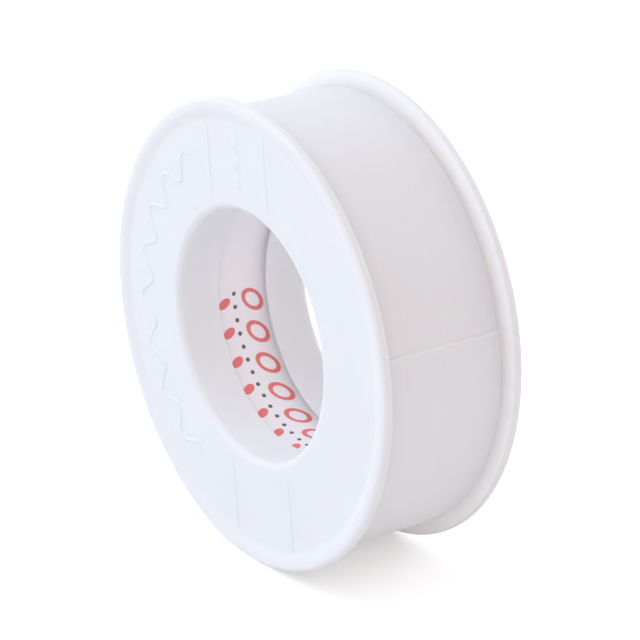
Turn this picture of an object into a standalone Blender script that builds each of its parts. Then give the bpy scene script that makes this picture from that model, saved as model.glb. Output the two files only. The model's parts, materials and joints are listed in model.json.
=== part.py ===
"""Roll of electrical tape, standing on the rims of its side flanges.

A thin core tube carries the wound tape. Two alike side flanges push into the ends of the core
by their hub sleeves. The roll's axis lies along Y and the front flange faces -Y.
"""
import math

import bmesh
import bpy
from mathutils import Vector

# Tape strip
TAPE_WIDTH = 0.015
TAPE_THICKNESS = 0.00013
TAPE_LENGTH = 10.0
FREE_END_LENGTH = 0.0275
CUT_END_ANGLE = math.radians(12.4)
CUT_RAGGEDNESS = 0.0002
CUT_WAVES = (5.0, 13.0)
FILM_GAP = 0.00005

# Core tube
CORE_WALL = 0.0007
CORE_OVERHANG = 0.00055
CORE_EDGE_CHAMFER = 0.00015
WINDING_GAP = 0.0001

# Side flange with its hub sleeve
BORE_RADIUS = 0.015
SLEEVE_WALL = 0.0008
SLEEVE_DEPTH = 0.0049
SLEEVE_LEAD_IN = 0.0005
SLEEVE_LEAD_LENGTH = 0.0008
LIP_ROUND = 0.0008
WEB_THICKNESS = 0.00075
FLANGE_MARGIN = 0.0017
RIM_WIDTH = 0.0021
RIM_RAISE = 0.00045
RIM_LAND = 0.0005
RIM_ROUND = 0.0006
RIM_BACK_ROUND = 0.0003

# Straight ribs moulded on the flange, two chords broken by the bore
RIB_OFFSET = 0.0059
RIB_WIDTH = 0.0005
RIB_HEIGHT = 0.00015
RIB_ROOT = 0.0003
RIB_END_GAP = 0.0006
RIB_TURN = math.radians(8.5)

# Fits
PUSH_FIT_GAP = 0.0001
SEAT_GAP = 0.0003

# Roundness of the turned pieces
SEGMENTS = 60
ARC_STEPS = 4
CUT_STEPS = 30
MERGE_DISTANCE = 0.00001

# Radii and places that follow from the sizes above
SLEEVE_RADIUS = BORE_RADIUS + SLEEVE_WALL
CORE_INNER_RADIUS = SLEEVE_RADIUS + PUSH_FIT_GAP
CORE_OUTER_RADIUS = CORE_INNER_RADIUS + CORE_WALL
CORE_LENGTH = TAPE_WIDTH + 2 * CORE_OVERHANG
WINDING_INNER_RADIUS = CORE_OUTER_RADIUS + WINDING_GAP
WINDING_OUTER_RADIUS = math.sqrt(WINDING_INNER_RADIUS ** 2 + TAPE_LENGTH * TAPE_THICKNESS / math.pi)
FLANGE_RADIUS = WINDING_OUTER_RADIUS + FLANGE_MARGIN
FLANGE_FACE_OFFSET = CORE_LENGTH / 2 + SEAT_GAP
RIM_FOOT_RADIUS = FLANGE_RADIUS - RIM_WIDTH
LIP_RADIUS = BORE_RADIUS + LIP_ROUND
SEGMENT_ANGLE = 2 * math.pi / SEGMENTS
AXIS_HEIGHT = FLANGE_RADIUS * math.cos(SEGMENT_ANGLE / 2)
FREE_END_SWEEP = FREE_END_LENGTH / WINDING_OUTER_RADIUS
PEEL_ANGLE = CUT_END_ANGLE - FREE_END_SWEEP

# Finishes
FLANGE_COLOR = (0.81, 0.82, 0.85, 1.0)
FLANGE_ROUGHNESS = 0.4
TAPE_COLOR = (0.79, 0.78, 0.79, 1.0)
TAPE_ROUGHNESS = 0.45
CORE_COLOR = (0.87, 0.86, 0.90, 1.0)
CORE_ROUGHNESS = 0.6


def clear_scene():
    for obj in list(bpy.data.objects):
        bpy.data.objects.remove(obj, do_unlink=True)


def new_collection(name):
    collection = bpy.data.collections.new(name)
    bpy.context.scene.collection.children.link(collection)
    return collection


def new_material(name, color, roughness):
    material = bpy.data.materials.new(name)
    material.use_nodes = True
    shader = material.node_tree.nodes["Principled BSDF"]
    shader.inputs["Base Color"].default_value = color
    shader.inputs["Roughness"].default_value = roughness
    shader.inputs["Metallic"].default_value = 0.0
    return material


def place(obj, collection, parent, material=None):
    collection.objects.link(obj)
    obj.parent = parent
    if material is not None:
        obj.data.materials.append(material)
    return obj


def arc(center_r, center_z, radius, start_degrees, end_degrees):
    """Points of a round in a turned profile, from one angle to the other."""
    points = []
    for step in range(ARC_STEPS + 1):
        angle = math.radians(start_degrees + (end_degrees - start_degrees) * step / ARC_STEPS)
        points.append((center_r + radius * math.cos(angle), center_z + radius * math.sin(angle)))
    return points


def turned_mesh(name, profile):
    """A closed profile of (radius, height) turned round Z, with a flat facet at each quarter."""
    mesh = bpy.data.meshes.new(name)
    shape = bmesh.new()
    turn = SEGMENT_ANGLE / 2
    ring = [shape.verts.new((r * math.cos(turn), r * math.sin(turn), z)) for r, z in profile]
    for start, end in zip(ring, ring[1:] + ring[:1]):
        shape.edges.new((start, end))
    shape.to_mesh(mesh)
    shape.free()
    return mesh


def add_screw(obj):
    screw = obj.modifiers.new("turn", "SCREW")
    screw.angle = 2 * math.pi
    screw.steps = SEGMENTS
    screw.render_steps = SEGMENTS
    screw.use_merge_vertices = True
    screw.merge_threshold = MERGE_DISTANCE
    screw.use_smooth_shade = True


def flange_profile():
    """Section of a side flange, from the bore lip over the rim and down the hub sleeve.

    Height 0 is the inner face, which seats on the core, and the outer face looks up.
    """
    top = WEB_THICKNESS + RIM_RAISE
    land_radius = FLANGE_RADIUS - RIM_ROUND
    profile = arc(LIP_RADIUS, WEB_THICKNESS - LIP_ROUND, LIP_ROUND, 180, 90)
    slope_run = land_radius - RIM_LAND - RIM_FOOT_RADIUS
    for step in range(ARC_STEPS + 1):
        share = step / ARC_STEPS
        rise = RIM_RAISE * (1 - math.cos(math.pi * share)) / 2
        profile.append((RIM_FOOT_RADIUS + slope_run * share, WEB_THICKNESS + rise))
    profile += arc(land_radius, top - RIM_ROUND, RIM_ROUND, 90, 0)
    profile += arc(FLANGE_RADIUS - RIM_BACK_ROUND, RIM_BACK_ROUND, RIM_BACK_ROUND, 0, -90)
    profile.append((SLEEVE_RADIUS, 0.0))
    profile.append((SLEEVE_RADIUS, SLEEVE_LEAD_LENGTH - SLEEVE_DEPTH))
    profile.append((SLEEVE_RADIUS - SLEEVE_LEAD_IN, -SLEEVE_DEPTH))
    profile.append((BORE_RADIUS, -SLEEVE_DEPTH))
    return profile


def core_profile():
    half = CORE_LENGTH / 2
    bevel = CORE_EDGE_CHAMFER
    return [
        (CORE_INNER_RADIUS, half - bevel),
        (CORE_INNER_RADIUS + bevel, half),
        (CORE_OUTER_RADIUS, half),
        (CORE_OUTER_RADIUS, -half),
        (CORE_INNER_RADIUS + bevel, -half),
        (CORE_INNER_RADIUS, bevel - half),
    ]


def rib_cage():
    """The four straight ribs of a flange as one mesh of separate bars."""
    inner_radius = LIP_RADIUS + RIB_END_GAP
    outer_radius = RIM_FOOT_RADIUS - RIB_END_GAP
    start = math.sqrt(inner_radius ** 2 - RIB_OFFSET ** 2)
    end = math.sqrt(outer_radius ** 2 - RIB_OFFSET ** 2)
    size = (RIB_WIDTH, end - start, RIB_HEIGHT + RIB_ROOT)
    height = WEB_THICKNESS + (RIB_HEIGHT - RIB_ROOT) / 2
    shape = bmesh.new()
    for side in (-1, 1):
        for end_sign in (-1, 1):
            bar = bmesh.ops.create_cube(shape, size=1.0)["verts"]
            bmesh.ops.scale(shape, vec=size, verts=bar)
            middle = (side * RIB_OFFSET, end_sign * (start + end) / 2, height)
            bmesh.ops.translate(shape, vec=middle, verts=bar)
    mesh = bpy.data.meshes.new("flange_ribs")
    shape.to_mesh(mesh)
    shape.free()
    return mesh


def winding_radius(sweep):
    """Outer radius of the stuck-down turns, by the angle turned from the peel line."""
    return WINDING_OUTER_RADIUS - TAPE_THICKNESS * (1 - sweep / (2 * math.pi))


def polar(radius, angle):
    return (radius * math.cos(angle), radius * math.sin(angle))


def winding_curve():
    """The stuck-down turns as a ring with a spiral outside, stepped where the last turn lifts off."""
    sweeps = [SEGMENT_ANGLE * step for step in range(SEGMENTS + 1)]
    spiral = [polar(winding_radius(sweep), PEEL_ANGLE + sweep) for sweep in sweeps]
    hole = [polar(WINDING_INNER_RADIUS, PEEL_ANGLE + sweep) for sweep in sweeps[:-1]]
    curve = bpy.data.curves.new("tape_winding", "CURVE")
    curve.dimensions = "2D"
    curve.fill_mode = "BOTH"
    curve.extrude = TAPE_WIDTH / 2
    for points in (spiral, hole):
        spline = curve.splines.new("POLY")
        spline.points.add(len(points) - 1)
        for point, (x, y) in zip(spline.points, points):
            point.co = (x, y, 0.0, 1.0)
        spline.use_cyclic_u = True
    return curve


def cut_end_offset(across):
    """How far the ragged cut runs past or short of a straight one, at a share of the tape's width."""
    coarse, fine = CUT_WAVES
    wave = math.sin(2 * math.pi * coarse * across) + math.sin(2 * math.pi * fine * across) / 2
    return CUT_RAGGEDNESS * wave / 2


def free_end_mesh(pivot):
    """The underside of the loose end, as it lies on the winding, drawn from its pivot on the peel line."""
    root = FILM_GAP / WINDING_OUTER_RADIUS
    steps = math.ceil(FREE_END_SWEEP / SEGMENT_ANGLE)
    shape = bmesh.new()
    bmesh.ops.create_grid(shape, x_segments=steps, y_segments=CUT_STEPS, size=0.5)
    for vert in shape.verts:
        along = vert.co.x + 0.5
        across = vert.co.y + 0.5
        tip = FREE_END_SWEEP + cut_end_offset(across) / WINDING_OUTER_RADIUS
        sweep = root + (tip - root) * along
        x, y = polar(winding_radius(sweep) + FILM_GAP, PEEL_ANGLE + sweep)
        vert.co = Vector((x, y, (across - 0.5) * TAPE_WIDTH)) - pivot
    mesh = bpy.data.meshes.new("tape_free_end")
    shape.to_mesh(mesh)
    shape.free()
    return mesh


def add_free_end(parts, axis, material):
    """The loose end, with its origin on the line about which it peels."""
    pivot = Vector((*polar(winding_radius(0.0) + FILM_GAP + TAPE_THICKNESS, PEEL_ANGLE), 0.0))
    free_end = place(bpy.data.objects.new("tape_free_end", free_end_mesh(pivot)), parts, axis, material)
    free_end.location = pivot
    film = free_end.modifiers.new("film", "SOLIDIFY")
    film.thickness = TAPE_THICKNESS
    film.offset = 1.0
    film.use_even_offset = True


def add_flange(name, mesh, ribs, parts, axis, material):
    """One flange on its seat. The rear one is the same moulding, turned over."""
    side = 1 if name == "front_flange" else -1
    flange = place(bpy.data.objects.new(name, mesh), parts, axis)
    flange.location = (0.0, 0.0, side * FLANGE_FACE_OFFSET)
    flange.rotation_euler = (0.0 if side == 1 else math.pi, 0.0, 0.0)
    if not mesh.materials:
        mesh.materials.append(material)
    add_screw(flange)
    union = flange.modifiers.new("ribs", "BOOLEAN")
    union.operation = "UNION"
    union.object = ribs
    return flange


def build():
    clear_scene()
    parts = new_collection("electrical_tape_roll")
    cutters = new_collection("tape_roll_cutters")
    flange_plastic = new_material("flange_plastic", FLANGE_COLOR, FLANGE_ROUGHNESS)
    tape_film = new_material("tape_film", TAPE_COLOR, TAPE_ROUGHNESS)
    core_card = new_material("core_card", CORE_COLOR, CORE_ROUGHNESS)

    axis = place(bpy.data.objects.new("roll_axis", None), parts, None)
    axis.location = (0.0, 0.0, AXIS_HEIGHT)
    axis.rotation_euler = (math.pi / 2, 0.0, 0.0)

    core_mesh = turned_mesh("core_tube", core_profile())
    core = place(bpy.data.objects.new("core_tube", core_mesh), parts, axis, core_card)
    add_screw(core)

    place(bpy.data.objects.new("tape_winding", winding_curve()), parts, axis, tape_film)
    add_free_end(parts, axis, tape_film)

    flange_mesh = turned_mesh("side_flange", flange_profile())
    rib_mesh = rib_cage()
    for name in ("front_flange", "rear_flange"):
        ribs = place(bpy.data.objects.new(name + "_ribs", rib_mesh), cutters, None)
        ribs.hide_render = True
        ribs.display_type = "WIRE"
        flange = add_flange(name, flange_mesh, ribs, parts, axis, flange_plastic)
        ribs.parent = flange
        ribs.rotation_euler = (0.0, 0.0, RIB_TURN)


build()
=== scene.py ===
"""Looks of a roll of electrical tape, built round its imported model.

Sizes are in metres. The roll's axis runs along Y, its front flange faces -Y and it stands on the floor
at height 0. Each piece is modelled round local Z, which points out of the front flange, with local X
to the right and local Y up as seen from the front.
"""
import json
import math

import bmesh
import bpy
from mathutils import Matrix, Vector


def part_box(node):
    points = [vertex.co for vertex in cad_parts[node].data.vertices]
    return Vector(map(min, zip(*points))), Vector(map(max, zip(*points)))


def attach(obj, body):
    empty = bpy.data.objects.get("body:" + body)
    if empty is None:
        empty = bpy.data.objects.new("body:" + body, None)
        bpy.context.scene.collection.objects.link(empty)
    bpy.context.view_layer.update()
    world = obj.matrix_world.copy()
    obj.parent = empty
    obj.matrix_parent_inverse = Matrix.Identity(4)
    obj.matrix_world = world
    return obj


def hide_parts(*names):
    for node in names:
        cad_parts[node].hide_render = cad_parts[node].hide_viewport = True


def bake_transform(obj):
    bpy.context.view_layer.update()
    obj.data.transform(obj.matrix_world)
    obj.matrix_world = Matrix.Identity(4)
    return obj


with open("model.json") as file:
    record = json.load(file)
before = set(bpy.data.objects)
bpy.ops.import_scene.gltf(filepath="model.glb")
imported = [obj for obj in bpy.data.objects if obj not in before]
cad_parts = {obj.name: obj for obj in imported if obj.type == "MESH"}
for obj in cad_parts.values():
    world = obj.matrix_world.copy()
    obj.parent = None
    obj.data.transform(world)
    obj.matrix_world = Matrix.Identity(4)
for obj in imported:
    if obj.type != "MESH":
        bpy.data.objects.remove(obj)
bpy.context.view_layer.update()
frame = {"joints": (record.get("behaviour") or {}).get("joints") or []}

# Sizes read from the frame
flange_low, flange_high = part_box("front_flange")
core_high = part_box("core_tube")[1]
winding_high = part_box("tape_winding")[1]
peel_joint = next(joint for joint in frame["joints"] if joint["name"] == "free_end_peel")
hinge = Vector(peel_joint["pos_m"])
CENTRE = Vector((0.0, 0.0, (flange_low.z + flange_high.z) / 2))
FLANGE_RADIUS = (flange_high.z - flange_low.z) / 2
RIM_TOP = -flange_low.y
SLEEVE_END = -flange_high.y
CORE_HALF = core_high.y
TAPE_HALF = winding_high.y
PEEL_ANGLE = math.atan2(hinge.z - CENTRE.z, hinge.x)

# Side flange: bore, hub sleeve, web and raised rim. SUPPORT is how far from a round the next ring of points
# lies, which keeps the flat face beside it evenly shaded
BORE_RADIUS = 0.015
SLEEVE_WALL = 0.0008
SLEEVE_LEAD_IN = 0.0005
SLEEVE_LEAD_LENGTH = 0.0008
SLEEVE_END_ROUND = 0.00012
LIP_ROUND = 0.0008
WEB_THICKNESS = 0.00082
RIM_WIDTH = 0.0026
RIM_RAISE = 0.00038
RIM_LAND = 0.0004
RIM_ROUND = 0.0006
RIM_BACK_ROUND = 0.0003
SUPPORT = 0.00012
WEB_RINGS = 6

# Straight ribs on the flange, two chords broken by the bore, a little off the middle
RIB_OFFSET = 0.0058
RIB_SHIFT = 0.0005
RIB_END_GAP = 0.0006
RIB_RUN_OUT = 0.0006
RIB_TURN = math.radians(7.0)
RIB_ROUND = 0.0003
RIB_HEIGHT = 0.00012

# Plain relief on the flange: a running wave beside the bore and pips between the upper ribs
WAVE_RADIUS = 0.0217
WAVE_SWING = 0.00125
WAVE_COUNT = 8
WAVE_START = math.radians(122)
WAVE_END = math.radians(242)
WAVE_ROUND = 0.00032
WAVE_HEIGHT = 0.00015
PIP_ROUND = 0.0009
PIP_DEPTH = 0.00035
PIP_HEIGHT = 0.00015
PIP_RADII = (0.0184, 0.0207, 0.0230)

# Ridges, which the ribs and the wave are: steps along a rib or one swing of the wave, and how deep and over
# how many steps the ends of a ridge dip
RIDGE_STEPS = 24
RIDGE_END_DIP = 0.0002
RIDGE_END_STEPS = 2

# Core tube
CORE_CLEARANCE = 0.0001
CORE_WALL = 0.0007
CORE_EDGE_ROUND = 0.00015

# Print inside the core, in millimetres: its start and length round the core, then rows of marks given by
# count, height along the axis, slant, half width and half height
PRINT_START = 51.0
PRINT_LENGTH = 36.0
OVAL_ROW = (10, 2.2, 0.3, 0.6, 0.85)
DOT_ROW = (22, 0.75, 0.0, 0.27, 0.27)
RING_ROW = (9, -1.75, -0.4, 1.35, 1.5)

# Soft edges of the marks, as shares of their half size: where full ink stops and where bare card starts.
# A ring is a line at a share of its half size, and its edges are counted from the middle of that line
OVAL_EDGE = (0.92, 1.08)
DOT_EDGE = (0.85, 1.15)
RING_LINE = 0.82
RING_EDGE = (0.14, 0.22)

# Tape: film and winding
TAPE_THICKNESS = 0.00013
FILM_GAP = 0.00005
WINDING_CLEARANCE = 0.00002
EDGE_ROUND = 0.00008

# Bands of turns on the winding's sides: their number, how uneven they stand and by which two waves, the
# slope at each side of a band as a share of its width, and the turns outside the last band
SIDE_BANDS = 24
SIDE_UNEVEN = 0.00004
SIDE_WAVES = (2.3, 5.1)
SIDE_WAVE_SHIFT = 1.0
SIDE_BAND_SLOPE = 0.125
SIDE_EVEN_TURNS = 3

# Loose end: length, ragged cut, the gap that opens under its first stretch, and its lifted thin tip
FREE_END_LENGTH = 0.0275
CUT_RAGGEDNESS = 0.00014
CUT_WAVES = (5.0, 13.0)
SEAT_GAP = 0.000012
SEAT_SHARE = 0.25
TIP_LIFT = 0.00001
TIP_LIFT_POWER = 8
TIP_LIFT_WAVE = 9
TIP_TAPER = 0.00035
TIP_THICKNESS = 0.00003
TIP_STEPS = 8
STRIP_STEPS = 72
STRIP_LANES = 96

# Roundness and joining of meshes
SEGMENTS = 240
ARC_STEPS = 8
RIDGE_BEVEL_STEPS = 5
PIP_SEGMENTS = 24
SHARP_ANGLE = math.radians(32)
WELD_DISTANCE = 1e-6

# How much of a face's normal lies along the axis, at least, where it belongs to a flange's inner side or to
# a side of the winding
FLANGE_SIDE_NORMAL = 0.9
WINDING_SIDE_NORMAL = 0.5

# Camera, fitted to the photograph's 640 x 640 frame. Its place is given from the roll's centre, along the
# camera's own axes
CAMERA_AZIMUTH = math.radians(55.692)
CAMERA_ELEVATION = math.radians(22.343)
CAMERA_LENS = 211.106
CAMERA_SENSOR = 36.0
CAMERA_PLACE = Vector((0.0008005, -0.0000712, 0.437054))
CAMERA_CLIP = (0.01, 20.0)

# Light all round, and the span from the cool to the warm side, measured along the warm direction
WARM_SIDE = (0.86, 0.34, -0.38)
WARM_SPAN = (-0.7, 0.7)
WARM_LIGHT = (0.45, 0.367, 0.340, 1.0)
COOL_LIGHT = (0.795, 0.87, 0.985, 1.0)

# Softboxes by name, place, size, power in watts and colour
SOFTBOXES = (
    ("key_softbox", (-0.42, -0.45, 0.65), 0.8, 2.75, (0.90, 0.95, 1.0)),
    ("fill_softbox", (0.50, -0.38, 0.32), 0.5, 0.85, (1.0, 0.88, 0.82)),
    ("back_softbox", (0.12, 0.58, 0.12), 0.8, 2.0, (1.0, 0.98, 0.97)),
)

# Floor and backdrop
FLOOR_HALF = 2.0
FLOOR_COLOR = (0.86, 0.86, 0.86, 1.0)
FLOOR_ROUGHNESS = 0.9
FLOOR_GLOW = 0.42
WHITE = (1.0, 1.0, 1.0, 1.0)

# Light that passes into the white plastics, as a share and a depth: little under the polished outer side
# of a flange, more through its thin wall where the inner side shows, and some into the edges of the film.
# Red light passes furthest, then green and blue
OUTER_GLOW = (0.35, 0.0012)
INNER_GLOW = (1.0, 0.008)
EDGE_GLOW = (1.0, 0.0015)
GLOW_REACH = (1.0, 0.8, 0.7)

# Darker and lighter tint of each material, and the two inks. The film's thinned tip at its cut has its own
# lighter tint
FLANGE_TINTS = ((0.800, 0.803, 0.820, 1.0), (0.830, 0.833, 0.848, 1.0))
FILM_TINTS = ((0.785, 0.775, 0.783, 1.0), (0.820, 0.810, 0.818, 1.0))
CUT_TINTS = ((0.825, 0.815, 0.820, 1.0), (0.862, 0.852, 0.857, 1.0))
EDGE_TINTS = ((0.830, 0.815, 0.825, 1.0), (0.900, 0.890, 0.900, 1.0))
CARD_TINTS = ((0.885, 0.865, 0.890, 1.0), (0.930, 0.910, 0.930, 1.0))
RED_INK = (0.820, 0.190, 0.190, 1.0)
DARK_INK = (0.130, 0.085, 0.120, 1.0)

# Lowest and highest roughness, spread over the values that a noise mostly takes, and the flange's gloss
NOISE_SPAN = (0.3, 0.7)
FLANGE_ROUGHNESS = (0.36, 0.46)
FILM_ROUGHNESS = (0.38, 0.5)
EDGE_ROUGHNESS = (0.5, 0.65)
CARD_ROUGHNESS = (0.5, 0.62)
FLANGE_SPECULAR = 0.35

# Textures by the scale of their noise, to the metre on the flange, to the millimetre on film and card and to
# the turn on the wound edges, with the depth of their relief
NOISE_DETAIL = 3.0
GRAIN_DETAIL = 2.0
FLANGE_CLOUD_SCALE = 130.0
FLANGE_POLISH_SCALE = 420.0
FLANGE_GRAIN_SCALE = 2600.0
FLANGE_GRAIN_DEPTH = 0.000012
STREAK_STRETCH = (0.03, 1.0, 1.0)
STREAK_SCALE = 1.1
FILM_GRAIN_SCALE = 5.0
FILM_GRAIN_DEPTH = 0.000012
TURN_SHADE_SCALE = 0.37
TURN_SHADE_SPAN = (0.4, 1.0)
TURN_GROOVE_DEPTH = 0.00003
FIBRE_SCALE = 1.6
FIBRE_DETAIL = 5.0
FIBRE_DEPTH = 0.00001

# Radii and places that follow from the sizes above. The print comes twice round the core
OUTER_FACE = RIM_TOP - RIM_RAISE
INNER_FACE = OUTER_FACE - WEB_THICKNESS
SLEEVE_RADIUS = BORE_RADIUS + SLEEVE_WALL
LIP_RADIUS = BORE_RADIUS + LIP_ROUND
RIM_FOOT_RADIUS = FLANGE_RADIUS - RIM_WIDTH
CORE_INNER_RADIUS = SLEEVE_RADIUS + CORE_CLEARANCE
CORE_OUTER_RADIUS = CORE_INNER_RADIUS + CORE_WALL
WINDING_INNER_RADIUS = CORE_OUTER_RADIUS + WINDING_CLEARANCE
WINDING_OUTER_RADIUS = math.hypot(hinge.x, hinge.z - CENTRE.z) - FILM_GAP
FREE_END_SWEEP = FREE_END_LENGTH / WINDING_OUTER_RADIUS
ROLL_MATRIX = Matrix.Translation(CENTRE) @ Matrix.Rotation(math.pi / 2, 4, "X")
TURNED_OVER = Matrix.Rotation(math.pi, 4, "X")
MILLIMETRE = 0.001
PRINT_REPEAT = math.pi * CORE_INNER_RADIUS / MILLIMETRE


def smooth(share):
    """An even ease from 0 to 1."""
    share = min(max(share, 0.0), 1.0)
    return share * share * (3 - 2 * share)


def arc(center_r, center_z, radius, start_degrees, end_degrees):
    """Points of a round in a profile, from one angle to the other."""
    points = []
    for step in range(ARC_STEPS + 1):
        angle = math.radians(start_degrees + (end_degrees - start_degrees) * step / ARC_STEPS)
        points.append((center_r + radius * math.cos(angle), center_z + radius * math.sin(angle)))
    return points


def polar(radius, angle, height):
    """A point by its distance from Z, its angle round Z and its height."""
    return Vector((radius * math.cos(angle), radius * math.sin(angle), height))


def loft(shape, rings, closed):
    """Quads through alike closed rings of points, joined end to start if closed."""
    made = [[shape.verts.new(point) for point in ring] for ring in rings]
    followers = made[1:] + made[:1] if closed else made[1:]
    for ring, following in zip(made, followers):
        for step in range(len(ring)):
            beside = (step + 1) % len(ring)
            shape.faces.new((ring[step], ring[beside], following[beside], following[step]))
    return made


def shade(mesh):
    """Shades a mesh smooth over its soft edges and leaves the others sharp."""
    mesh.shade_smooth()
    mesh.set_sharp_from_angle(angle=SHARP_ANGLE)


def finish_mesh(shape, name):
    """The mesh of a finished shape, with its faces pointing out."""
    bmesh.ops.recalc_face_normals(shape, faces=shape.faces)
    mesh = bpy.data.meshes.new(name)
    shape.to_mesh(mesh)
    shape.free()
    shade(mesh)
    return mesh


def applied_mesh(source):
    """The mesh that an object's bevel or modifiers make."""
    bpy.context.view_layer.update()
    evaluated = source.evaluated_get(bpy.context.evaluated_depsgraph_get())
    return bpy.data.meshes.new_from_object(evaluated)


def turned_mesh(name, profile):
    """A closed profile of (radius, height) points turned round Z."""
    shape = bmesh.new()
    angles = [2 * math.pi * step / SEGMENTS for step in range(SEGMENTS)]
    loft(shape, [[polar(r, angle, z) for r, z in profile] for angle in angles], closed=True)
    return finish_mesh(shape, name)


def add_piece(name, data, matrix=ROLL_MATRIX):
    """A new object in the scene, placed in the roll unless told otherwise."""
    piece = bpy.data.objects.new(name, data)
    bpy.context.scene.collection.objects.link(piece)
    piece.matrix_world = matrix
    return piece


def unroll(mesh, radius):
    """A map of the round surface in millimetres: along the circle, then along the axis."""
    layer = mesh.uv_layers.new(name="unrolled")
    for polygon in mesh.polygons:
        middle = math.atan2(polygon.center.y, polygon.center.x) % (2 * math.pi)
        for loop in polygon.loop_indices:
            point = mesh.vertices[mesh.loops[loop].vertex_index].co
            turn = math.remainder(math.atan2(point.y, point.x) - middle, 2 * math.pi)
            layer.uv[loop].vector = ((middle + turn) * radius / MILLIMETRE, point.z / MILLIMETRE)


# Side flanges


def flange_profile():
    """Section of a flange by radius and distance from the middle of the roll, round from the bore lip."""
    profile = arc(LIP_RADIUS, OUTER_FACE - LIP_ROUND, LIP_ROUND, 180, 90)
    first, last = LIP_RADIUS + SUPPORT, RIM_FOOT_RADIUS - SUPPORT
    profile += [(first + (last - first) * ring / WEB_RINGS, OUTER_FACE) for ring in range(WEB_RINGS + 1)]
    land_radius = FLANGE_RADIUS - RIM_ROUND
    slope_run = land_radius - RIM_LAND - RIM_FOOT_RADIUS
    for step in range(ARC_STEPS + 1):
        share = step / ARC_STEPS
        rise = RIM_RAISE * (1 - math.cos(math.pi * share)) / 2
        profile.append((RIM_FOOT_RADIUS + slope_run * share, OUTER_FACE + rise))
    profile.append((land_radius - RIM_LAND / 2, RIM_TOP))
    profile += arc(land_radius, RIM_TOP - RIM_ROUND, RIM_ROUND, 90, 0)
    back_radius = FLANGE_RADIUS - RIM_BACK_ROUND
    profile += arc(back_radius, INNER_FACE + RIM_BACK_ROUND, RIM_BACK_ROUND, 0, -90)
    profile.append((back_radius - SUPPORT, INNER_FACE))
    profile.append((SLEEVE_RADIUS, INNER_FACE))
    profile.append((SLEEVE_RADIUS, SLEEVE_END + SLEEVE_LEAD_LENGTH))
    profile.append((SLEEVE_RADIUS - SLEEVE_LEAD_IN, SLEEVE_END))
    end_level = SLEEVE_END + SLEEVE_END_ROUND
    profile += arc(BORE_RADIUS + SLEEVE_END_ROUND, end_level, SLEEVE_END_ROUND, 270, 180)
    profile.append((BORE_RADIUS, end_level + SUPPORT))
    profile.append((BORE_RADIUS, OUTER_FACE - LIP_ROUND - SUPPORT))
    return profile


def rib_place(side, end_sign):
    """The rule for one straight rib, from the bore outwards."""
    inner = math.sqrt((LIP_RADIUS + RIB_END_GAP) ** 2 - RIB_OFFSET ** 2)
    outer = math.sqrt((RIM_FOOT_RADIUS + RIB_RUN_OUT) ** 2 - RIB_OFFSET ** 2)
    turn = Matrix.Rotation(RIB_TURN, 2)

    def place(share):
        along = end_sign * (inner + (outer - inner) * share)
        return turn @ Vector((RIB_SHIFT + side * RIB_OFFSET, along))

    return place


def wave_place(share):
    """The rule for the running wave round the bore."""
    swing = WAVE_SWING * math.sin(2 * math.pi * WAVE_COUNT * share)
    angle = WAVE_START + (WAVE_END - WAVE_START) * share
    return polar(WAVE_RADIUS + swing, angle, 0.0).xy


def add_ridge(curve, place, steps, height, radius):
    """A low ridge by a rule for its place, sunk in the face and dipping at both ends."""
    spline = curve.splines.new("POLY")
    spline.points.add(steps)
    for step, point in enumerate(spline.points):
        share = step / steps
        end_share = min(share, 1 - share) * steps / RIDGE_END_STEPS
        dip = RIDGE_END_DIP * (1 - smooth(end_share))
        x, y = place(share)
        point.co = (x, y, OUTER_FACE + height - radius - dip, 1.0)
        point.radius = radius


def ridge_curve():
    """The four ribs and the wave, with a bevel of 1 that each point's radius scales."""
    curve = bpy.data.curves.new("flange_ridges", "CURVE")
    curve.dimensions = "3D"
    curve.bevel_depth = 1.0
    curve.bevel_resolution = RIDGE_BEVEL_STEPS
    curve.use_fill_caps = True
    for side in (-1, 1):
        for end_sign in (-1, 1):
            add_ridge(curve, rib_place(side, end_sign), RIDGE_STEPS, RIB_HEIGHT, RIB_ROUND)
    add_ridge(curve, wave_place, RIDGE_STEPS * WAVE_COUNT, WAVE_HEIGHT, WAVE_ROUND)
    return curve


def relief_mesh():
    """Every raised line and pip of a flange as separate closed bodies."""
    ridges = add_piece("flange_ridges", ridge_curve(), Matrix())
    shape = bmesh.new()
    shape.from_mesh(applied_mesh(ridges))
    bpy.data.objects.remove(ridges)
    bmesh.ops.remove_doubles(shape, verts=shape.verts, dist=WELD_DISTANCE)
    dome = Matrix.Diagonal((PIP_ROUND, PIP_ROUND, PIP_DEPTH, 1.0))
    for radius in PIP_RADII:
        place = Matrix.Rotation(RIB_TURN, 2) @ Vector((RIB_SHIFT, radius))
        spot = Matrix.Translation((*place, OUTER_FACE + PIP_HEIGHT - PIP_DEPTH))
        bmesh.ops.create_uvsphere(
            shape, u_segments=PIP_SEGMENTS, v_segments=PIP_SEGMENTS, radius=1.0, matrix=spot @ dome
        )
    return finish_mesh(shape, "flange_relief")


def flange_mesh():
    """One flange with its relief joined on, as seen from its own outer side."""
    flange = add_piece("flange_blank", turned_mesh("flange_blank", flange_profile()), Matrix())
    relief = add_piece("flange_relief", relief_mesh(), Matrix())
    join = flange.modifiers.new("join", "BOOLEAN")
    join.operation = "UNION"
    join.object = relief
    mesh = applied_mesh(flange)
    for helper in (flange, relief):
        bpy.data.objects.remove(helper)
    mesh.name = "side_flange"
    shade(mesh)
    return mesh


# Core tube


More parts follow.
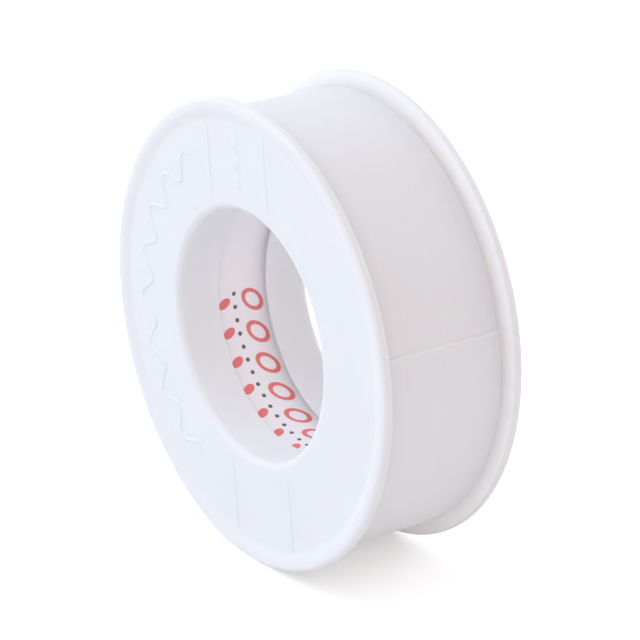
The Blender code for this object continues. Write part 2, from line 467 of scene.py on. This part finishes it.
def core_mesh():
    """A plain tube with rounded edges, mapped for its print."""
    half, edge = CORE_HALF, CORE_EDGE_ROUND
    profile = arc(CORE_INNER_RADIUS + edge, half - edge, edge, 180, 90)
    profile += arc(CORE_OUTER_RADIUS - edge, half - edge, edge, 90, 0)
    profile += arc(CORE_OUTER_RADIUS - edge, edge - half, edge, 0, -90)
    profile += arc(CORE_INNER_RADIUS + edge, edge - half, edge, -90, -180)
    mesh = turned_mesh("core_tube", profile)
    unroll(mesh, CORE_INNER_RADIUS)
    return mesh


# Tape


def winding_radius(sweep):
    """Outer radius of the stuck-down turns, by the angle turned from the peel line."""
    return WINDING_OUTER_RADIUS - TAPE_THICKNESS * (1 - sweep / (2 * math.pi))


def side_offset(band):
    """How far a band of turns stands out of the winding's side, a small uneven amount."""
    slow, quick = SIDE_WAVES
    return SIDE_UNEVEN * (math.sin(slow * band) + math.sin(quick * band + SIDE_WAVE_SHIFT)) / 2


def winding_section(sweep):
    """Section of the winding at an angle from the peel line, as points of (radius, height)."""
    outer = winding_radius(sweep)
    inner = WINDING_INNER_RADIUS
    last = WINDING_OUTER_RADIUS - SIDE_EVEN_TURNS * TAPE_THICKNESS
    side = []
    for band in range(SIDE_BANDS):
        start = inner + (last - inner) * band / SIDE_BANDS
        end = inner + (last - inner) * (band + 1) / SIDE_BANDS
        slope = (end - start) * SIDE_BAND_SLOPE
        height = TAPE_HALF - SIDE_UNEVEN + side_offset(band)
        side += [(start + slope, height), (end - slope, height)]
    front = side + arc(outer - EDGE_ROUND, TAPE_HALF - EDGE_ROUND, EDGE_ROUND, 90, 0)
    return front + [(r, -z) for r, z in reversed(front)]


def winding_mesh():
    """The stuck-down turns, with a spiral outside that steps where the loose end lifts off."""
    shape = bmesh.new()
    sweeps = [2 * math.pi * step / SEGMENTS for step in range(SEGMENTS + 1)]
    rings = [[polar(r, PEEL_ANGLE + sweep, z) for r, z in winding_section(sweep)] for sweep in sweeps]
    loft(shape, rings, closed=False)
    bmesh.ops.remove_doubles(shape, verts=shape.verts, dist=WELD_DISTANCE)
    bmesh.ops.holes_fill(shape, edges=[edge for edge in shape.edges if edge.is_boundary])
    mesh = finish_mesh(shape, "tape_winding")
    unroll(mesh, WINDING_OUTER_RADIUS)
    side_radius = WINDING_OUTER_RADIUS - EDGE_ROUND
    for polygon in mesh.polygons:
        faces_side = abs(polygon.normal.z) > WINDING_SIDE_NORMAL
        polygon.material_index = int(faces_side and polygon.center.xy.length < side_radius)
    return mesh


def cut_end_offset(across):
    """How far the ragged cut runs past or short of a straight one, at a share of the tape's width."""
    coarse, fine = CUT_WAVES
    wave = math.sin(2 * math.pi * coarse * across) + math.sin(2 * math.pi * fine * across) / 2
    return CUT_RAGGEDNESS * wave / 2


def strip_section(along):
    """Section of the loose end at a share of its length: over its top, then back along its underside."""
    top, under = [], []
    for lane in range(STRIP_LANES + 1):
        across = lane / STRIP_LANES
        tip = FREE_END_SWEEP + cut_end_offset(across) / WINDING_OUTER_RADIUS
        sweep = tip * along
        gap = SEAT_GAP * smooth(along / SEAT_SHARE)
        lift = TIP_LIFT * along ** TIP_LIFT_POWER * (1 + math.sin(TIP_LIFT_WAVE * across)) / 2
        radius = winding_radius(sweep) + (gap + lift)
        thinning = smooth(1 - (1 - along) * FREE_END_LENGTH / TIP_TAPER)
        thickness = TAPE_THICKNESS + (TIP_THICKNESS - TAPE_THICKNESS) * thinning
        height = TAPE_HALF * (2 * across - 1)
        under.append(polar(radius, PEEL_ANGLE + sweep, height))
        top.append(polar(radius + thickness, PEEL_ANGLE + sweep, height))
    return top + under[::-1]


def strip_mesh():
    """The loose end of the tape as a thin closed film, cut off raggedly at its tip."""
    shape = bmesh.new()
    taper_start = 1 - TIP_TAPER / FREE_END_LENGTH
    shares = [taper_start * step / STRIP_STEPS for step in range(STRIP_STEPS)]
    shares += [taper_start + (1 - taper_start) * step / TIP_STEPS for step in range(TIP_STEPS + 1)]
    rings = loft(shape, [strip_section(share) for share in shares], closed=False)
    for ring in (rings[0], rings[-1]):
        for lane in range(STRIP_LANES):
            shape.faces.new((ring[lane], ring[lane + 1], ring[-lane - 2], ring[-lane - 1]))
    tip = {vert for ring in rings[STRIP_STEPS:] for vert in ring}
    for face in shape.faces:
        face.material_index = int(tip.issuperset(face.verts))
    mesh = finish_mesh(shape, "tape_loose_end")
    unroll(mesh, WINDING_OUTER_RADIUS)
    return mesh


# Material nodes


def feed(tree, socket, value):
    """Links a node's output to a socket, or sets a plain value on it."""
    if isinstance(value, bpy.types.NodeSocket):
        tree.links.new(value, socket)
    else:
        socket.default_value = value


def coordinates(tree, kind):
    """Texture coordinates of one kind."""
    return tree.nodes.new("ShaderNodeTexCoord").outputs[kind]


def split(tree, vector):
    """The X and Y of a vector."""
    node = tree.nodes.new("ShaderNodeSeparateXYZ")
    feed(tree, node.inputs["Vector"], vector)
    return node.outputs["X"], node.outputs["Y"]


def calc(tree, operation, *values):
    """One step of arithmetic."""
    node = tree.nodes.new("ShaderNodeMath")
    node.operation = operation
    for socket, value in zip(node.inputs, values):
        feed(tree, socket, value)
    return node.outputs[0]


def remap(tree, value, start, end, low, high, kind="LINEAR"):
    """A value carried over from the span start to end to the span low to high."""
    node = tree.nodes.new("ShaderNodeMapRange")
    node.interpolation_type = kind
    for socket, number in zip(node.inputs, (value, start, end, low, high)):
        feed(tree, socket, number)
    return node.outputs[0]


def noise(tree, vector, scale, detail=NOISE_DETAIL):
    """A soft random pattern."""
    node = tree.nodes.new("ShaderNodeTexNoise")
    feed(tree, node.inputs["Vector"], vector)
    node.inputs["Scale"].default_value = scale
    node.inputs["Detail"].default_value = detail
    return node.outputs["Fac"]


def mix_color(tree, factor, first, second):
    """A colour between two others."""
    node = tree.nodes.new("ShaderNodeMix")
    node.data_type = "RGBA"
    feed(tree, node.inputs["Factor"], factor)
    feed(tree, node.inputs["A"], first)
    feed(tree, node.inputs["B"], second)
    return node.outputs["Result"]


def bump(tree, height, distance):
    """Normals of a fine relief of the given depth."""
    node = tree.nodes.new("ShaderNodeBump")
    node.inputs["Strength"].default_value = 1.0
    node.inputs["Distance"].default_value = distance
    feed(tree, node.inputs["Height"], height)
    return node.outputs["Normal"]


def new_material(name):
    """A material, its node tree and its shader."""
    material = bpy.data.materials.new(name)
    material.use_nodes = True
    tree = material.node_tree
    return material, tree, tree.nodes["Principled BSDF"]


def let_light_in(shader, glow):
    """Lets a share of the light into a plastic, which spreads it over a depth."""
    shader.inputs["Subsurface Weight"].default_value = glow[0]
    shader.inputs["Subsurface Radius"].default_value = GLOW_REACH
    shader.inputs["Subsurface Scale"].default_value = glow[1]


def seen_by_eye(tree):
    """1 for rays that show a picture: from the camera, in a reflection or through glass."""
    path = tree.nodes.new("ShaderNodeLightPath")
    seen = calc(tree, "MAXIMUM", path.outputs["Is Camera Ray"], path.outputs["Is Glossy Ray"])
    return calc(tree, "MAXIMUM", seen, path.outputs["Is Transmission Ray"])


# Materials


def flange_plastic(name, glow):
    """Satin white moulded plastic with a faint cloudiness and a fine moulded grain."""
    material, tree, shader = new_material(name)
    spot = coordinates(tree, "Object")
    cloud = noise(tree, spot, FLANGE_CLOUD_SCALE)
    polish = noise(tree, spot, FLANGE_POLISH_SCALE)
    grain = noise(tree, spot, FLANGE_GRAIN_SCALE, GRAIN_DETAIL)
    feed(tree, shader.inputs["Base Color"], mix_color(tree, cloud, *FLANGE_TINTS))
    feed(tree, shader.inputs["Roughness"], remap(tree, polish, *NOISE_SPAN, *FLANGE_ROUGHNESS))
    feed(tree, shader.inputs["Normal"], bump(tree, grain, FLANGE_GRAIN_DEPTH))
    shader.inputs["Specular IOR Level"].default_value = FLANGE_SPECULAR
    let_light_in(shader, glow)
    return material


def tape_film(name, tints):
    """Soft satin vinyl with faint streaks along the tape and a fine grain."""
    material, tree, shader = new_material(name)
    spot = coordinates(tree, "UV")
    stretch = tree.nodes.new("ShaderNodeMapping")
    feed(tree, stretch.inputs["Vector"], spot)
    stretch.inputs["Scale"].default_value = STREAK_STRETCH
    streak = noise(tree, stretch.outputs["Vector"], STREAK_SCALE)
    grain = noise(tree, spot, FILM_GRAIN_SCALE, GRAIN_DETAIL)
    feed(tree, shader.inputs["Base Color"], mix_color(tree, streak, *tints))
    feed(tree, shader.inputs["Roughness"], remap(tree, streak, *NOISE_SPAN, *FILM_ROUGHNESS))
    relief = calc(tree, "ADD", grain, streak)
    feed(tree, shader.inputs["Normal"], bump(tree, relief, FILM_GRAIN_DEPTH))
    return material


def tape_edges():
    """The edges of the wound film, seen on the winding's sides as fine rings."""
    material, tree, shader = new_material("tape_edges")
    x, y = split(tree, coordinates(tree, "Object"))
    square = calc(tree, "ADD", calc(tree, "MULTIPLY", x, x), calc(tree, "MULTIPLY", y, y))
    radius = calc(tree, "SQRT", square)
    turn = calc(tree, "DIVIDE", calc(tree, "ARCTAN2", y, x), 2 * math.pi)
    layer = calc(tree, "SUBTRACT", calc(tree, "DIVIDE", radius, TAPE_THICKNESS), turn)
    groove = calc(tree, "ABSOLUTE", calc(tree, "SUBTRACT", calc(tree, "FRACT", layer), 0.5))
    band_noise = tree.nodes.new("ShaderNodeTexNoise")
    band_noise.noise_dimensions = "1D"
    feed(tree, band_noise.inputs["W"], layer)
    band_noise.inputs["Scale"].default_value = TURN_SHADE_SCALE
    band = band_noise.outputs["Fac"]
    tone = remap(tree, calc(tree, "ADD", groove, band), *TURN_SHADE_SPAN, 0.0, 1.0)
    feed(tree, shader.inputs["Base Color"], mix_color(tree, tone, *EDGE_TINTS))
    feed(tree, shader.inputs["Roughness"], remap(tree, band, *NOISE_SPAN, *EDGE_ROUGHNESS))
    feed(tree, shader.inputs["Normal"], bump(tree, groove, TURN_GROOVE_DEPTH))
    let_light_in(shader, EDGE_GLOW)
    return material


def mark_distance(tree, run, level, row):
    """Distance from the middle of the nearest mark in a printed row, 1 on its outline."""
    count, height, slant, half_width, half_height = row
    period = PRINT_LENGTH / count
    cell = calc(tree, "SUBTRACT", calc(tree, "FRACT", calc(tree, "DIVIDE", run, period)), 0.5)
    above = calc(tree, "SUBTRACT", level, height)
    lean = calc(tree, "MULTIPLY", above, slant)
    leaning = calc(tree, "SUBTRACT", calc(tree, "MULTIPLY", cell, period), lean)
    wide = calc(tree, "POWER", calc(tree, "DIVIDE", leaning, half_width), 2.0)
    tall = calc(tree, "POWER", calc(tree, "DIVIDE", above, half_height), 2.0)
    return calc(tree, "SQRT", calc(tree, "ADD", wide, tall))


def core_card():
    """Pale card, printed inside with plain red ovals and rings and a dark dotted line between them."""
    material, tree, shader = new_material("core_card")
    spot = coordinates(tree, "UV")
    around, level = split(tree, spot)
    turns = calc(tree, "DIVIDE", calc(tree, "SUBTRACT", around, PRINT_START), PRINT_REPEAT)
    run = calc(tree, "MULTIPLY", calc(tree, "FRACT", turns), PRINT_REPEAT)
    printed = calc(tree, "LESS_THAN", run, PRINT_LENGTH)
    ovals = remap(tree, mark_distance(tree, run, level, OVAL_ROW), *OVAL_EDGE, 1.0, 0.0)
    dots = remap(tree, mark_distance(tree, run, level, DOT_ROW), *DOT_EDGE, 1.0, 0.0)
    from_line = calc(tree, "SUBTRACT", mark_distance(tree, run, level, RING_ROW), RING_LINE)
    rings = remap(tree, calc(tree, "ABSOLUTE", from_line), *RING_EDGE, 1.0, 0.0)
    red = calc(tree, "MULTIPLY", calc(tree, "MAXIMUM", ovals, rings), printed)
    dark = calc(tree, "MULTIPLY", dots, printed)
    fibre = noise(tree, spot, FIBRE_SCALE, FIBRE_DETAIL)
    card = mix_color(tree, fibre, *CARD_TINTS)
    with_red = mix_color(tree, red, card, RED_INK)
    feed(tree, shader.inputs["Base Color"], mix_color(tree, dark, with_red, DARK_INK))
    feed(tree, shader.inputs["Roughness"], remap(tree, fibre, *NOISE_SPAN, *CARD_ROUGHNESS))
    feed(tree, shader.inputs["Normal"], bump(tree, fibre, FIBRE_DEPTH))
    return material


def studio_floor():
    """Pale floor that shows white in open light and keeps the roll's soft shadow."""
    material, tree, shader = new_material("studio_floor")
    shader.inputs["Base Color"].default_value = FLOOR_COLOR
    shader.inputs["Roughness"].default_value = FLOOR_ROUGHNESS
    shader.inputs["Specular IOR Level"].default_value = 0.0
    shader.inputs["Emission Color"].default_value = WHITE
    glow = remap(tree, seen_by_eye(tree), 0.0, 1.0, 0.0, FLOOR_GLOW)
    feed(tree, shader.inputs["Emission Strength"], glow)
    return material


# Pieces of the roll


def add_flanges():
    """Both flanges from one mesh, the rear one turned over."""
    mesh = flange_mesh()
    mesh.materials.append(flange_plastic("flange_plastic", OUTER_GLOW))
    mesh.materials.append(flange_plastic("flange_inner_side", INNER_GLOW))
    for polygon in mesh.polygons:
        faces_in = polygon.normal.z < -FLANGE_SIDE_NORMAL
        polygon.material_index = int(faces_in and polygon.center.z > INNER_FACE - SUPPORT)
    for name, matrix in (("front_flange", ROLL_MATRIX), ("rear_flange", ROLL_MATRIX @ TURNED_OVER)):
        flange = add_piece(name + "_moulding", mesh, matrix)
        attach(flange, name)
        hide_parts(name)


def add_core():
    """The printed core tube."""
    core = add_piece("printed_core", core_mesh())
    core.data.materials.append(core_card())
    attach(core, "wound_core")
    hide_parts("core_tube")


def add_tape():
    """The wound tape, and its loose end, which runs on from the peel line."""
    film = tape_film("tape_film", FILM_TINTS)
    winding = add_piece("wound_tape", winding_mesh())
    winding.data.materials.append(film)
    winding.data.materials.append(tape_edges())
    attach(winding, "wound_core")
    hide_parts("tape_winding")

    strip = add_piece("loose_end", strip_mesh())
    strip.data.materials.append(film)
    strip.data.materials.append(tape_film("tape_cut", CUT_TINTS))
    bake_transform(strip)
    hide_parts("tape_free_end")


# Stage: floor, light and camera


def add_floor():
    """The floor, which isn't part of the roll."""
    shape = bmesh.new()
    bmesh.ops.create_grid(shape, x_segments=1, y_segments=1, size=FLOOR_HALF)
    floor = add_piece("floor", finish_mesh(shape, "floor"), Matrix())
    floor.data.materials.append(studio_floor())


def add_world():
    """Soft light all round, cool from the upper left and warm from the lower right, on plain white."""
    world = bpy.data.worlds.new("studio")
    bpy.context.scene.world = world
    world.use_nodes = True
    tree = world.node_tree
    light = tree.nodes["Background"]
    side = tree.nodes.new("ShaderNodeVectorMath")
    side.operation = "DOT_PRODUCT"
    feed(tree, side.inputs[0], coordinates(tree, "Generated"))
    side.inputs[1].default_value = WARM_SIDE
    warmth = remap(tree, side.outputs["Value"], *WARM_SPAN, 0.0, 1.0, "SMOOTHSTEP")
    feed(tree, light.inputs["Color"], mix_color(tree, warmth, COOL_LIGHT, WARM_LIGHT))
    backdrop = tree.nodes.new("ShaderNodeBackground")
    backdrop.inputs["Color"].default_value = WHITE
    choice = tree.nodes.new("ShaderNodeMixShader")
    feed(tree, choice.inputs[0], seen_by_eye(tree))
    feed(tree, choice.inputs[1], light.outputs[0])
    feed(tree, choice.inputs[2], backdrop.outputs[0])
    feed(tree, tree.nodes["World Output"].inputs["Surface"], choice.outputs[0])


def add_softbox(name, place, size, power, color):
    """A square softbox that faces the roll."""
    lamp = bpy.data.lights.new(name, "AREA")
    lamp.color = color
    lamp.shape = "SQUARE"
    lamp.size = size
    lamp.energy = power
    softbox = bpy.data.objects.new(name, lamp)
    bpy.context.scene.collection.objects.link(softbox)
    softbox.location = place
    softbox.rotation_euler = (CENTRE - Vector(place)).to_track_quat("-Z", "Y").to_euler()


def add_camera():
    """The camera, looking along its fitted direction."""
    data = bpy.data.cameras.new("camera")
    data.sensor_width = CAMERA_SENSOR
    data.lens = CAMERA_LENS
    data.clip_start, data.clip_end = CAMERA_CLIP
    camera = bpy.data.objects.new("camera", data)
    bpy.context.scene.collection.objects.link(camera)
    across = math.cos(CAMERA_ELEVATION)
    back = Vector((
        math.sin(CAMERA_AZIMUTH) * across,
        -math.cos(CAMERA_AZIMUTH) * across,
        math.sin(CAMERA_ELEVATION),
    ))
    aim = (-back).to_track_quat("-Z", "Y")
    camera.location = CENTRE + aim @ CAMERA_PLACE
    camera.rotation_euler = aim.to_euler()
    bpy.context.scene.camera = camera


add_flanges()
add_core()
add_tape()
add_floor()
add_world()
for softbox_row in SOFTBOXES:
    add_softbox(*softbox_row)
add_camera()
bpy.context.scene.view_settings.view_transform = "Standard"
